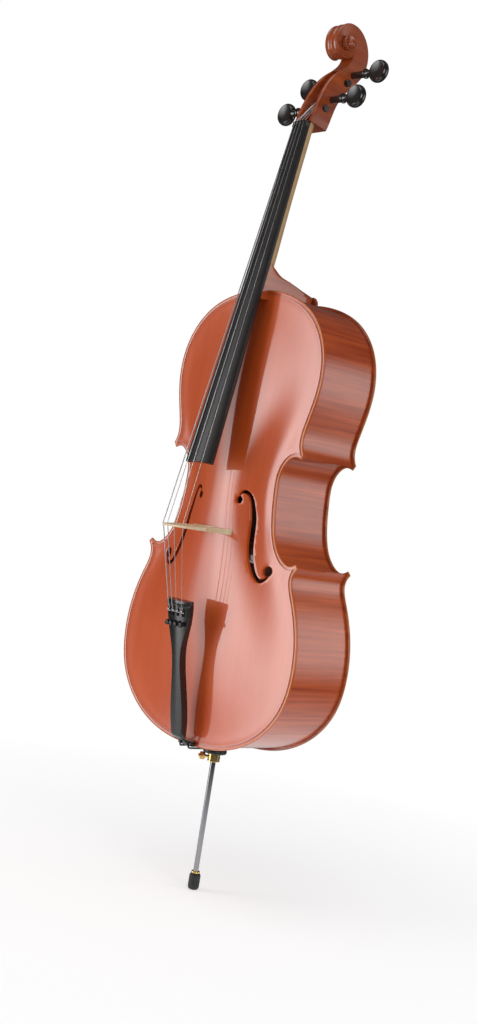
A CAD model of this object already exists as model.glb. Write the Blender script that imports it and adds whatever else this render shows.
"""A full-size cello in a plain studio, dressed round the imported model.

Lengths in this file are millimetres until a mesh is written, which is done in metres.
A "station" is a height above the body's bottom edge and "back" is the distance behind
the middle of the ribs, as on a maker's drawing.
"""

import logging
import math
from collections.abc import Iterable, Sequence
from dataclasses import dataclass, field
from enum import Enum
from functools import cached_property

import bmesh
import bpy
import numpy as np
from mathutils import Euler, Matrix, Vector
from mathutils.geometry import delaunay_2d_cdt


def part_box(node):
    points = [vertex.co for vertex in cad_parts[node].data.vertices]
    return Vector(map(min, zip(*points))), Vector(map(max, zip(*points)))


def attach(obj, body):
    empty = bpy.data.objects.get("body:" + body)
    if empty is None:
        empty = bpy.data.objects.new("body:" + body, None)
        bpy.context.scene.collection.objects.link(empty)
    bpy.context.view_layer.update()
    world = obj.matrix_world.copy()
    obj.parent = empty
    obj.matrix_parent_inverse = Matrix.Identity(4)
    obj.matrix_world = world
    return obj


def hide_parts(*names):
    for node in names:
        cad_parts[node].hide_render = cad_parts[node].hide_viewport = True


log = logging.getLogger("cello")
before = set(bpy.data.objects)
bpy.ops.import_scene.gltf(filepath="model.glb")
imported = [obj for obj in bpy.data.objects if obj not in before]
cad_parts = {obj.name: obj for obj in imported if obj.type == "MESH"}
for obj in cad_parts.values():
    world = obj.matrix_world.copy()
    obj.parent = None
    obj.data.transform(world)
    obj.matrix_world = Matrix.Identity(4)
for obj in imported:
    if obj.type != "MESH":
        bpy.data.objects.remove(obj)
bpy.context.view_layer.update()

METRE = 1000.0
BODY_LENGTH = 755.0
PLATE_EDGE = 4.5
TOP_CROWN = 24.0
Point = tuple[float, float]
Colour = tuple[float, float, float]


# ---------------------------------------------------------------- frame and curves
@dataclass(frozen=True)
class Datum:
    """Where the body stands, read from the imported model, in millimetres."""

    bottom: float
    half_rib: float
    half_depth: float
    length: float

    @classmethod
    def from_frame(cls) -> "Datum":
        """Read the body's places from the nodes."""
        half_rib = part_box("lower_rib_treble")[1].y * METRE
        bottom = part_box("top_plate")[0].z * METRE
        return cls(bottom, half_rib, half_rib + PLATE_EDGE, BODY_LENGTH)

    def place(self, x: float, back: float, station: float) -> Vector:
        """A point of the instrument, from its drawing coordinates."""
        return Vector((x, back, self.bottom + station))

    def head(self, behind: float, above: float) -> Point:
        """(back, station) of a point of the head, measured from the top plate's upper edge."""
        return behind - self.half_depth, self.length + above


DATUM = Datum.from_frame()


def smooth_curve(points: Sequence[Sequence[float]], count: int) -> np.ndarray:
    """A smooth curve through points, evenly spaced in chord length.

    Args:
        points: places that the curve passes through.
        count: number of steps.

    Returns:
        count + 1 points as rows.
    """
    knots = np.array(points, float)
    chords = np.linalg.norm(np.diff(knots, axis=0), axis=1)
    params = np.concatenate([[0.0], np.cumsum(chords)])
    slopes = np.diff(knots, axis=0) / chords[:, None]
    size = len(knots)
    matrix = np.eye(size)
    right = np.zeros_like(knots)
    right[0] = end_slope(params[:4], knots[:4])
    right[-1] = -end_slope(-params[-4:][::-1], knots[-4:][::-1])
    for i in range(1, size - 1):
        before, after = chords[i - 1], chords[i]
        matrix[i, i - 1 : i + 2] = after, 2 * (before + after), before
        right[i] = 3 * (slopes[i - 1] * after + slopes[i] * before)
    tangents = np.linalg.solve(matrix, right)
    wanted = np.linspace(0, params[-1], count + 1)
    spans = np.clip(np.searchsorted(params, wanted, side="right") - 1, 0, size - 2)
    width = chords[spans][:, None]
    t = (wanted - params[spans])[:, None] / width
    a, b = knots[spans], knots[spans + 1]
    ta, tb = tangents[spans] * width, tangents[spans + 1] * width
    return (
        (2 * t**3 - 3 * t**2 + 1) * a
        + (t**3 - 2 * t**2 + t) * ta
        + (3 * t**2 - 2 * t**3) * b
        + (t**3 - t**2) * tb
    )


def end_slope(params: np.ndarray, values: np.ndarray) -> np.ndarray:
    """Slope, at its first place, of the polynomial through a few places."""
    total = np.zeros(values.shape[1])
    start = params[0]
    for i, value in enumerate(values):
        others = [p for k, p in enumerate(params) if k != i]
        scale = math.prod(params[i] - p for p in others)
        if i == 0:
            weight = sum(math.prod(start - q for q in others if q != p) for p in others) / scale
        else:
            weight = math.prod(start - p for p in others if p != start) / scale
        total = total + weight * value
    return total


def lerp(a: float, b: float, share: float) -> float:
    """A value between two others."""
    return a + (b - a) * share


def eased(share: float) -> float:
    """A smooth step from 0 to 1."""
    share = min(max(share, 0.0), 1.0)
    return share * share * (3 - 2 * share)


def along_stops(stops: Sequence[Point], place: float) -> float:
    """A value read from (place, value) stops."""
    places, values = zip(*stops)
    return float(np.interp(place, places, values))


# ---------------------------------------------------------------- mesh writing
@dataclass
class Shape:
    """Points and faces of one piece while it is being built, in millimetres."""

    name: str
    points: list[Vector] = field(default_factory=list)
    faces: list[tuple[int, ...]] = field(default_factory=list)
    grain: list[Point] = field(default_factory=list)

    def add(self, places: Iterable[Vector], grain: Iterable[Point] | None = None) -> list[int]:
        """Add points and return their numbers."""
        start = len(self.points)
        self.points.extend(Vector(p) for p in places)
        added = len(self.points) - start
        self.grain.extend(grain if grain is not None else [(0.0, 0.0)] * added)
        return list(range(start, start + added))

    def skin(self, rows: Sequence[Sequence[int]], closed: bool = True) -> None:
        """Join rows of points with faces; closed rows run all the way round."""
        for low, high in zip(rows, rows[1:]):
            count = len(low)
            for i in range(count if closed else count - 1):
                j = (i + 1) % count
                self.faces.append((low[i], low[j], high[j], high[i]))

    def sweep(self, sections: Sequence[Sequence[Vector]], capped: bool = True) -> None:
        """A closed skin over sections that all have the same number of points."""
        rows = [self.add(section) for section in sections]
        self.skin(rows)
        if capped:
            self.faces.append(tuple(reversed(rows[0])))
            self.faces.append(tuple(rows[-1]))

    def lathe(self, profile: Sequence[Point], base: Vector, axis: Vector, count: int = 48) -> None:
        """Turn a profile of (radius, height) about an axis; both its ends are closed."""
        turn = axis.normalized().to_track_quat("Z", "Y")
        sections = []
        for radius, height in profile:
            ring = [math.tau * i / count for i in range(count)]
            places = [Vector((radius * math.cos(a), radius * math.sin(a), height)) for a in ring]
            sections.append([base + turn @ place for place in places])
        self.sweep(sections)

    def finish(self, sharp: float = 35.0) -> bpy.types.Object:
        """Write the mesh in metres, with its faces outward and smooth up to an angle.

        Args:
            sharp: angle in degrees from which an edge stays hard.

        Returns:
            The new object, at the origin.
        """
        mesh = bpy.data.meshes.new(self.name)
        mesh.from_pydata([p / METRE for p in self.points], [], self.faces)
        layer = mesh.uv_layers.new(name="grain")
        for loop in mesh.loops:
            u, v = self.grain[loop.vertex_index]
            layer.data[loop.index].uv = (u / METRE, v / METRE)
        mesh.validate()
        return dressed_mesh(self.name, mesh, sharp)


def dressed_mesh(name: str, mesh: bpy.types.Mesh, sharp: float) -> bpy.types.Object:
    """Merge doubles, turn faces outward, shade smooth and link a mesh as an object."""
    work = bmesh.new()
    work.from_mesh(mesh)
    bmesh.ops.remove_doubles(work, verts=work.verts, dist=1e-6)
    bmesh.ops.dissolve_degenerate(work, edges=work.edges, dist=1e-7)
    bmesh.ops.recalc_face_normals(work, faces=work.faces)
    work.to_mesh(mesh)
    work.free()
    mesh.polygons.foreach_set("use_smooth", [True] * len(mesh.polygons))
    mesh.set_sharp_from_angle(angle=math.radians(sharp))
    piece = bpy.data.objects.new(name, mesh)
    bpy.context.scene.collection.objects.link(piece)
    return piece


def redress(name: str, material: bpy.types.Material) -> None:
    """Give a node that is kept as it is another material."""
    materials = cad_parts[name].data.materials
    materials.clear()
    materials.append(material)


def install(
    piece: bpy.types.Object,
    material: bpy.types.Material,
    body: str,
    nodes: Sequence[str] = (),
) -> bpy.types.Object:
    """Give a finished piece its material, its body and the nodes it stands for."""
    if material.name not in [m.name for m in piece.data.materials if m]:
        piece.data.materials.clear()
        piece.data.materials.append(material)
    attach(piece, body)
    if nodes:
        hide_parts(*nodes)
    log.info("%s: %d faces", piece.name, len(piece.data.polygons))
    return piece


# ---------------------------------------------------------------- shader graphs
class Value:
    """A shader socket that carries a number and can be used in arithmetic."""

    def __init__(self, graph: "Graph", socket: bpy.types.NodeSocket) -> None:
        self.graph = graph
        self.socket = socket

    def maths(self, operation: str, *others: "Value | float") -> "Value":
        """Add a Math node that takes this value first."""
        return self.graph.maths(operation, self, *others)

    def __add__(self, other: "Value | float") -> "Value":
        """Sum."""
        return self.maths("ADD", other)

    __radd__ = __add__

    def __sub__(self, other: "Value | float") -> "Value":
        """Difference."""
        return self.maths("SUBTRACT", other)

    def __rsub__(self, other: float) -> "Value":
        """Difference from a number."""
        return self.graph.maths("SUBTRACT", other, self)

    def __mul__(self, other: "Value | float") -> "Value":
        """Product."""
        return self.maths("MULTIPLY", other)

    __rmul__ = __mul__

    def __pow__(self, other: float) -> "Value":
        """Power."""
        return self.maths("POWER", other)

    def above(self, edge: float) -> "Value":
        """1 where the value is above an edge."""
        return self.maths("GREATER_THAN", edge)

    def held(self) -> "Value":
        """The value kept between 0 and 1."""
        return self.graph.node("ShaderNodeClamp", {}, {0: self})


class Graph:
    """A material's nodes, built from its shader back."""

    def __init__(self, name: str, **uniform: float | Colour) -> None:
        """Start a material whose shader has these uniform values, by socket name."""
        self.material = bpy.data.materials.new(name)
        self.material.use_nodes = True
        self.tree = self.material.node_tree
        self.shader = self.tree.nodes["Principled BSDF"]
        for key, value in uniform.items():
            socket = self.shader.inputs[key.replace("_", " ")]
            socket.default_value = (*value, 1.0) if isinstance(value, tuple) else value

    def node(self, kind: str, settings: dict, values: dict, output: int | str = 0) -> Value:
        """Add a node.

        Args:
            kind: the node's type.
            settings: its properties, or "stops" for a ramp; set first.
            values: what goes into its sockets, by name or number.
            output: which of its outputs is returned.

        Returns:
            The chosen output.
        """
        node = self.tree.nodes.new(kind)
        for key, value in settings.items():
            if key == "stops":
                self._stops(node.color_ramp, value)
            else:
                setattr(node, key, value)
        for key, value in values.items():
            self.feed(node.inputs[key], value)
        return Value(self, node.outputs[output])

    @staticmethod
    def _stops(ramp: bpy.types.ColorRamp, stops: Sequence[tuple[float, Colour]]) -> None:
        """Set a ramp's stops."""
        while len(ramp.elements) < len(stops):
            ramp.elements.new(0.5)
        for element, (place, colour) in zip(ramp.elements, stops):
            element.position = place
            element.color = (*colour, 1.0)

    def feed(self, socket: bpy.types.NodeSocket, value: object) -> None:
        """Link or set a socket."""
        if isinstance(value, Value):
            self.tree.links.new(value.socket, socket)
        elif isinstance(value, tuple) and len(value) == 3 and socket.type == "RGBA":
            socket.default_value = (*value, 1.0)
        else:
            socket.default_value = value

    def maths(self, operation: str, *values: "Value | float") -> Value:
        """Add a Math node."""
        places = dict(enumerate(values))
        return self.node("ShaderNodeMath", {"operation": operation}, places)

    def mix(self, share: "Value | float", first: object, second: object, how: str = "MIX") -> Value:
        """Mix two colours."""
        settings = {"data_type": "RGBA", "blend_type": how}
        return self.node("ShaderNodeMix", settings, {0: share, 6: first, 7: second}, 2)

    def ramp(self, share: Value, stops: Sequence[tuple[float, Colour]]) -> Value:
        """A colour read from stops."""
        return self.node("ShaderNodeValToRGB", {"stops": stops}, {0: share})

    def place(self, scale: Colour, turn: Colour = (0.0, 0.0, 0.0)) -> Value:
        """Object coordinates, scaled and turned."""
        here = self.node("ShaderNodeTexCoord", {}, {}, "Object")
        return self.node("ShaderNodeMapping", {}, {0: here, 2: turn, 3: scale})

    def grain_place(self, scale: Colour) -> Value:
        """The piece's own coordinates along and across its grain, scaled."""
        here = self.node("ShaderNodeUVMap", {"uv_map": "grain"}, {})
        return self.node("ShaderNodeMapping", {}, {0: here, 3: scale})

    def part(self, vector: Value, axis: int) -> Value:
        """One coordinate of a vector."""
        return self.node("ShaderNodeSeparateXYZ", {}, {0: vector}, axis)

    def noise(self, place: Value, scale: float = 1.0, detail: float = 2.0, rough: float = 0.5) -> Value:
        """Smooth noise."""
        values = {"Vector": place, "Scale": scale, "Detail": detail, "Roughness": rough}
        return self.node("ShaderNodeTexNoise", {}, values)

    def bump(self, height: Value, strength: float, distance: float) -> Value:
        """A surface normal from a height."""
        values = {"Strength": strength, "Distance": distance, "Height": height}
        return self.node("ShaderNodeBump", {}, values)

    def surface(self, **sockets: Value) -> bpy.types.Material:
        """Feed the shader's sockets and return the material."""
        for key, value in sockets.items():
            self.feed(self.shader.inputs[key.replace("_", " ")], value)
        return self.material


class GrainWay(Enum):
    """How the grain lies in a piece of wood."""

    STANDING = "standing"
    FLAMED_STANDING = "flamed standing"
    FLAMED_BENT = "flamed bent"


@dataclass(frozen=True)
class VarnishedWood:
    """Orange-red clear varnish over spruce or flamed maple."""

    name: str
    way: GrainWay
    deep: Colour
    light: Colour
    flame: float = 0.5
    flame_pitch: float = 8.0
    gloss: float = 0.04

    def material(self) -> bpy.types.Material:
        """Build the finish."""
        graph = Graph(
            self.name,
            Coat_Weight=1.0,
            Coat_Roughness=self.gloss,
            Coat_IOR=1.6,
            IOR=1.45,
        )
        body = graph.place((1.0, 1.0, 1.0))
        cloud = graph.noise(body, 5.0, 3.0)
        if self.way is GrainWay.STANDING:
            lines = graph.noise(graph.place((620.0, 620.0, 3.0)), 1.0, 3.0, 0.6)
            wide = graph.noise(graph.place((70.0, 70.0, 1.5)), 1.0, 2.0)
            figure = lines * 0.55 + wide * 0.45
        else:
            figure = self._flame(graph)
        share = (figure * self.flame + cloud * (1 - self.flame) - 0.5) * 2.2 + 0.5
        colour = graph.mix(share.held(), self.deep, self.light)
        rough = cloud * 0.12 + 0.34
        pores = graph.noise(graph.place((900.0, 900.0, 40.0)), 1.0, 2.0)
        normal = graph.bump(pores * 0.3 + cloud * 0.7, 0.05, 0.0004)
        return graph.surface(Base_Color=colour, Roughness=rough, Normal=normal)

    def _flame(self, graph: Graph) -> Value:
        """Stripes across the grain, of uneven width and strength."""
        pitch = METRE / self.flame_pitch
        if self.way is GrainWay.FLAMED_BENT:
            stripes = graph.noise(graph.grain_place((pitch, 9.0, 1.0)), 0.5, 1.5)
            fine = graph.noise(graph.grain_place((pitch * 3.1, 22.0, 1.0)), 0.5, 1.0)
            threads = graph.noise(graph.grain_place((9.0, 420.0, 1.0)), 1.0, 2.0)
        else:
            stripes = graph.noise(graph.place((14.0, 9.0, pitch)), 0.5, 1.5)
            fine = graph.noise(graph.place((30.0, 22.0, pitch * 3.1)), 0.5, 1.0)
            threads = graph.noise(graph.place((420.0, 420.0, 9.0)), 1.0, 2.0)
        return (stripes * 1.1 + fine * 0.45 - 0.28) * 0.86 + threads * 0.12


@dataclass(frozen=True)
class BareWood:
    """Unvarnished wood with fine grain."""

    name: str
    light: Colour
    dark: Colour
    rough: float = 0.5

    def material(self) -> bpy.types.Material:
        """Build the finish."""
        graph = Graph(self.name, IOR=1.45)
        lines = graph.noise(graph.place((500.0, 500.0, 22.0)), 1.0, 3.0, 0.6)
        flame = graph.noise(graph.place((20.0, 20.0, 140.0)), 1.0, 1.5)
        colour = graph.mix((lines * 0.7 + flame * 0.6 - 0.25).held(), self.light, self.dark)
        rough = lines * 0.2 + (self.rough - 0.1)
        return graph.surface(Base_Color=colour, Roughness=rough, Normal=graph.bump(lines, 0.12, 0.0003))


@dataclass(frozen=True)
class Ebony:
    """Black wood, from waxed and matt to polished."""

    name: str
    gloss: float
    tone: Colour = (0.012, 0.011, 0.011)
    streak: Colour = (0.035, 0.028, 0.024)
    coat: float = 0.0

    def material(self) -> bpy.types.Material:
        """Build the finish."""
        graph = Graph(self.name, IOR=1.5, Coat_Weight=self.coat, Coat_Roughness=0.08)
        lines = graph.noise(graph.place((700.0, 700.0, 14.0)), 1.0, 4.0, 0.65)
        broad = graph.noise(graph.place((60.0, 60.0, 3.0)), 1.0, 2.0)
        colour = graph.mix((lines * broad * 2.2 - 0.25).held(), self.tone, self.streak)
        rough = lines * 0.16 + (self.gloss - 0.08)
        return graph.surface(Base_Color=colour, Roughness=rough, Normal=graph.bump(lines, 0.1, 0.0002))


@dataclass(frozen=True)
class Metal:
    """Turned or drawn metal with fine tool marks."""

    name: str
    colour: Colour
    rough: float
    marks: float = 900.0

    def material(self) -> bpy.types.Material:
        """Build the finish."""
        graph = Graph(self.name, Metallic=1.0)
        rings = graph.noise(graph.place((40.0, 40.0, self.marks)), 1.0, 2.0)
        smudge = graph.noise(graph.place((60.0, 60.0, 60.0)), 1.0, 3.0)
        colour = graph.mix(smudge * 0.35, self.colour, tuple(0.6 * c for c in self.colour))
        rough = rings * 0.12 + smudge * 0.1 + (self.rough - 0.1)
        return graph.surface(Base_Color=colour, Roughness=rough.held(), Normal=graph.bump(rings, 0.06, 0.0001))


@dataclass(frozen=True)
class Moulded:
    """Rubber, nylon and black-painted parts, with a fine texture."""

    name: str
    colour: Colour
    rough: float
    texture: float = 1500.0
    depth: float = 0.0002

    def material(self) -> bpy.types.Material:
        """Build the finish."""
        graph = Graph(self.name, IOR=1.5)
        fine = graph.noise(graph.place((self.texture, self.texture, self.texture)), 1.0, 2.0)
        wear = graph.noise(graph.place((35.0, 35.0, 35.0)), 1.0, 4.0)
        worn = tuple(c * 1.9 + 0.006 for c in self.colour)
        colour = graph.mix((wear * 1.6 - 0.5).held(), self.colour, worn)
        rough = wear * 0.16 + (self.rough - 0.08)
        return graph.surface(Base_Color=colour, Roughness=rough, Normal=graph.bump(fine, 0.2, self.depth))


@dataclass(frozen=True)
class WoundString:
    """Flat metal ribbon wound on a string."""

    name: str
    colour: Colour = (0.78, 0.78, 0.8)

    def material(self) -> bpy.types.Material:
        """Build the finish."""
        graph = Graph(self.name, Metallic=1.0)
        ribbon = graph.part(graph.place((1.0, 1.0, 2600.0)), 2).maths("PINGPONG", 0.5)
        colour = graph.mix(ribbon, self.colour, tuple(0.72 * c for c in self.colour))
        return graph.surface(Base_Color=colour, Roughness=ribbon * 0.2 + 0.24)


@dataclass(frozen=True)
class Inlay:
    """Three thin strips let into the plate: black, pale and black."""

    name: str
    black: Colour = (0.010, 0.005, 0.003)
    pale: Colour = (0.5, 0.22, 0.07)

    def material(self) -> bpy.types.Material:
        """Build the finish."""
        graph = Graph(self.name, Coat_Weight=0.6, Coat_Roughness=0.1, Roughness=0.4)
        across = graph.part(graph.grain_place((1.0, METRE, 1.0)), 1)
        middle = across.maths("COMPARE", 0.5, 0.17)
        fibres = graph.noise(graph.place((90.0, 90.0, 90.0)), 1.0, 2.0)
        colour = graph.mix(middle * (fibres * 0.3 + 0.7), self.black, self.pale)
        return graph.surface(Base_Color=colour)


# ---------------------------------------------------------------- outline of the body
@dataclass(frozen=True)
class Outline:
    """The body's outline: four smooth bouts that meet at short cut corners."""

    length: float = BODY_LENGTH
    lower_bout: float = 424.0
    waist: float = 225.0
    upper_bout: float = 346.0
    lower_station: float = 168.0
    waist_station: float = 430.0
    upper_station: float = 612.0
    lower_corner: Point = (182.0, 319.0)
    upper_corner: Point = (157.0, 487.0)
    corner_width: float = 8.5
    margin: float = 12.0

    def _ends(self, corner: Point, angle: float) -> tuple[Point, Point]:
        """The two ends of a corner's cut."""
        dx = self.corner_width / 2 * math.cos(math.radians(angle))
        dz = self.corner_width / 2 * math.sin(math.radians(angle))
        return (corner[0] - dx, corner[1] - dz), (corner[0] + dx, corner[1] + dz)

    def bouts(self, count: int = 200) -> list[np.ndarray]:
        """Lower bout, treble waist, upper bout and bass waist, in order."""
        lower_out, lower_in = self._ends(self.lower_corner, -49.0)
        upper_in, upper_out = self._ends(self.upper_corner, 54.0)
        half_low, half_up, half_waist = self.lower_bout / 2, self.upper_bout / 2, self.waist / 2
        low_x, low_z = self.lower_corner
        up_x, up_z = self.upper_corner
        lower = [
            (half_low * 0.36, self.lower_station * 0.045),
            (half_low * 0.7, self.lower_station * 0.23),
            (half_low * 0.94, self.lower_station * 0.58),
            (half_low, self.lower_station),
            (half_low - 25, low_z - 53),
            (low_x - 5.5, low_z - 17),
            lower_in,
        ]
        waist = [
            lower_out,
            (low_x - 18, low_z - 1.5),
            (half_waist + 26.5, low_z + 13),
            (half_waist + 7.0, self.waist_station - 58),
            (half_waist, self.waist_station - 6),
            (half_waist + 6.0, self.waist_station + 40),
            (half_waist + 22.0, up_z - 2),
            upper_in,
        ]
        upper = [
            upper_out,
            (up_x - 4.5, up_z + 21),
            (up_x + 1, up_z + 55),
            (half_up, self.upper_station),
            (half_up * 0.93, self.length - 82),
            (half_up * 0.66, self.length - 29),
            (half_up * 0.33, self.length - 6.5),
        ]
        lower_full = [(-x, z) for x, z in lower[::-1]] + [(0, 0)] + lower
        upper_full = upper + [(0, self.length)] + [(-x, z) for x, z in upper[::-1]]
        waist_back = [(-x, z) for x, z in waist[::-1]]
        runs = [(lower_full, 2 * count), (waist, count), (upper_full, 2 * count), (waist_back, count)]
        return [smooth_curve(points, steps) for points, steps in runs]

    def polygon(self) -> np.ndarray:
        """The whole outline as one closed run of points."""
        return np.vstack(self.bouts())

    def drawn_in(self, distance: float) -> list[np.ndarray]:
        """The four bouts moved inward, brought to a point where they cross."""
        runs = []
        for bout in self.bouts():
            tangents = np.gradient(bout, axis=0)
            tangents /= np.linalg.norm(tangents, axis=1)[:, None]
            moved = bout + np.column_stack([-tangents[:, 1], tangents[:, 0]]) * distance
            reach = 4 * self.corner_width
            first = moved[0] - tangents[0] * reach
            last = moved[-1] + tangents[-1] * reach
            runs.append(np.vstack([first, moved, last]))
        crossings = [crossing(runs[i], runs[(i + 1) % 4]) for i in range(4)]
        cut = []
        for i, run in enumerate(runs):
            entry, leave = crossings[i - 1], crossings[i]
            inner = run[math.floor(entry[2]) + 1 : math.floor(leave[1]) + 1]
            cut.append(np.vstack([entry[0], inner, leave[0]]))
        return cut

    def arch_half_width(self, station: float) -> float:
        """Half the width over which the plates are arched."""
        low = self.lower_bout / 2 - self.margin
        middle = self.waist / 2 - self.margin
        up = self.upper_bout / 2 - self.margin
        if station < self.lower_station:
            return low * rounded_end((self.lower_station - station) / (self.lower_station - self.margin))
        if station > self.upper_station:
            reach = self.length - self.margin - self.upper_station
            return up * rounded_end((station - self.upper_station) / reach)
        if station < self.waist_station:
            share = (station - self.lower_station) / (self.waist_station - self.lower_station)
            return lerp(low, middle, (1 - math.cos(math.pi * share)) / 2)
        share = (station - self.waist_station) / (self.upper_station - self.waist_station)
        return lerp(middle, up, (1 - math.cos(math.pi * share)) / 2)

    def arch(self, x: float, station: float, crown: float) -> float:
        """Height of a plate's arching above its flat edge."""
        along = abs(2 * station - self.length) / (self.length - 2 * self.margin)
        half_width = self.arch_half_width(station)
        if along >= 1 or half_width <= abs(x):
            return 0.0
        return crown * (1 - along**3) ** 1.5 * (1 - (abs(x) / half_width) ** 2.6) ** 2


def rounded_end(share: float) -> float:
    """Height of a superellipse's end."""
    return max(0.0, 1 - max(share, 0.0) ** 2.4) ** (1 / 2.4)


def crossing(first: np.ndarray, second: np.ndarray) -> tuple[np.ndarray, float, float]:
    """Where two runs of points cross, and its position along each."""
    a, b = first[:-1, None], first[1:, None]
    c, d = second[None, :-1], second[None, 1:]
    ab, cd, ac = b - a, d - c, c - a
    scale = ab[..., 0] * cd[..., 1] - ab[..., 1] * cd[..., 0]
    scale = np.where(np.abs(scale) < 1e-12, np.inf, scale)
    along = (ac[..., 0] * cd[..., 1] - ac[..., 1] * cd[..., 0]) / scale
    across = (ac[..., 0] * ab[..., 1] - ac[..., 1] * ab[..., 0]) / scale
    hits = np.argwhere((along >= 0) & (along <= 1) & (across >= 0) & (across <= 1) & np.isfinite(scale))
    i, j = hits[0]
    share = along[i, j]
    return first[i] + (first[i + 1] - first[i]) * share, i + share, j + across[i, j]


def moved_inward(polygon: np.ndarray, distance: float) -> np.ndarray:
    """A closed polygon drawn in, with mitred corners; it runs anticlockwise."""
    before = np.roll(polygon, 1, axis=0)
    after = np.roll(polygon, -1, axis=0)
    first = polygon - before
    second = after - polygon
    first /= np.linalg.norm(first, axis=1)[:, None]
    second /= np.linalg.norm(second, axis=1)[:, None]
    normals = np.column_stack([-first[:, 1] - second[:, 1], first[:, 0] + second[:, 0]])
    normals /= np.linalg.norm(normals, axis=1)[:, None]
    reach = np.clip(normals[:, 0] * -second[:, 1] + normals[:, 1] * second[:, 0], 0.6, 1.0)
    return polygon + normals * (distance / reach)[:, None]


def distance_to(points: np.ndarray, polygon: np.ndarray) -> np.ndarray:
    """Distance from each point to a closed polygon."""
    starts = polygon
    runs = np.roll(polygon, -1, axis=0) - polygon
    lengths = np.maximum((runs**2).sum(axis=1), 1e-12)
    result = np.empty(len(points))
    for low in range(0, len(points), 1500):
        chunk = points[low : low + 1500, None, :] - starts[None]
        share = np.clip((chunk * runs[None]).sum(axis=2) / lengths, 0, 1)
        gaps = chunk - share[..., None] * runs[None]
        result[low : low + 1500] = np.sqrt((gaps**2).sum(axis=2).min(axis=1))
    return result


def inside(points: np.ndarray, polygon: np.ndarray) -> np.ndarray:
    """Which points lie inside a closed polygon."""
    x, y = points[:, 0:1], points[:, 1:2]
    x1, y1 = polygon[:, 0], polygon[:, 1]
    x2, y2 = np.roll(x1, -1), np.roll(y1, -1)
    spans = (y1 > y) != (y2 > y)
    with np.errstate(divide="ignore", invalid="ignore"):
        crosses = x < (x2 - x1) * (y - y1) / (y2 - y1) + x1
    return (spans & crosses).sum(axis=1) % 2 == 1


OUTLINE = Outline()


def spaced(polygon: np.ndarray, step: float) -> np.ndarray:
    """A closed polygon with points an even step apart, its sharp corners kept."""
    runs = np.roll(polygon, -1, axis=0) - polygon
    lengths = np.linalg.norm(runs, axis=1)
    keep = lengths > 1e-6
    polygon, runs, lengths = polygon[keep], runs[keep], lengths[keep]
    headings = np.arctan2(runs[:, 1], runs[:, 0])
    bends = np.abs((headings - np.roll(headings, 1) + math.pi) % math.tau - math.pi)
    corners = [int(i) for i in np.nonzero(bends > 0.35)[0]] or [0]
    result = []
    for here, there in zip(corners, corners[1:] + [corners[0] + len(polygon)]):
        run = np.array([polygon[i % len(polygon)] for i in range(here, there + 1)])
        reach = np.concatenate([[0], np.cumsum(np.linalg.norm(np.diff(run, axis=0), axis=1))])
        count = max(2, round(reach[-1] / step))
        wanted = np.linspace(0, reach[-1], count + 1)[:-1]
        result.append(np.column_stack([np.interp(wanted, reach, run[:, k]) for k in (0, 1)]))
    return np.vstack(result)


# ---------------------------------------------------------------- plates, ribs and purfling
@dataclass
class SoundHole:
    """One f-shaped sound hole: two round eyes joined by a curved slot."""

    upper_eye: Point = (47.5, 408.5)
    upper_radius: float = 6.3
    lower_eye: Point = (123.5, 303.0)
    lower_radius: float = 8.8
    width: float = 11.8

    def stem(self) -> np.ndarray:
        """Middle line of the slot, from above the upper eye to the lower one."""
        upper, lower = self.upper_eye, self.lower_eye
        points = [(upper[0] + 1.0, upper[1] + 4.5), (upper[0] + 3.0, upper[1] + 12.0)]
        points += [
            (54.6, 422.5), (62.5, 419.7), (68.5, 410.8), (73.7, 395.0), (76.9, 383.0), (79.0, 370.0),
            (80.4, 357.0), (81.9, 344.0), (84.4, 331.5), (89.7, 315.0), (97.6, 299.0), (104.8, 290.4),
            (113.2, 286.0)]
        points += [(lower[0] - 2.5, lower[1] - 13.4), (lower[0] + 4.0, lower[1] - 6.0)]
        return smooth_curve(points, 80)

    def outline(self) -> np.ndarray:
        """The whole hole as one closed run of points, anticlockwise."""
        middle = self.stem()
        tangents = np.gradient(middle, axis=0)
        tangents /= np.linalg.norm(tangents, axis=1)[:, None]
        across = np.column_stack([-tangents[:, 1], tangents[:, 0]])
        steps = np.linspace(0, 1, len(middle))
        half = self.width / 2 * (0.16 + 0.84 * np.sin(np.pi * steps) ** 0.62)
        right = middle + across * half[:, None]
        left = middle - across * half[:, None]
        shapes = [np.vstack([left, right[::-1]])]
        for centre, radius in ((self.upper_eye, self.upper_radius), (self.lower_eye, self.lower_radius)):
            turns = np.linspace(0, math.tau, 40, endpoint=False)
            ring = np.column_stack([np.cos(turns), np.sin(turns)]) * radius
            shapes.append(ring + np.array(centre))
        return united(shapes)


def united(shapes: Sequence[np.ndarray]) -> np.ndarray:
    """Outer outline of overlapping closed polygons, anticlockwise."""
    points, edges = [], []
    for shape in shapes:
        start = len(points)
        points.extend(Vector(p) for p in shape)
        edges.extend((start + i, start + (i + 1) % len(shape)) for i in range(len(shape)))
    places, _, faces, *_ = delaunay_2d_cdt(points, edges, [], 0, 1e-4)
    flat = np.array([tuple(p) for p in places])
    kept = []
    for face in faces:
        middle = flat[list(face)].mean(axis=0)[None]
        if any(inside(middle, shape)[0] for shape in shapes):
            kept.append(face)
    directed = {(f[i], f[(i + 1) % len(f)]) for f in kept for i in range(len(f))}
    border = {a: b for a, b in directed if (b, a) not in directed}
    start = max(border, key=lambda i: flat[i][0])
    chain, here = [start], border[start]
    while here != start:
        chain.append(here)
        here = border[here]
    run = flat[chain]
    return anticlockwise(run)


def anticlockwise(run: np.ndarray) -> np.ndarray:
    """A closed run of points, turned round if it goes clockwise."""
    area = (run[:, 0] * np.roll(run[:, 1], -1) - np.roll(run[:, 0], -1) * run[:, 1]).sum()
    return run if area > 0 else run[::-1]


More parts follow.
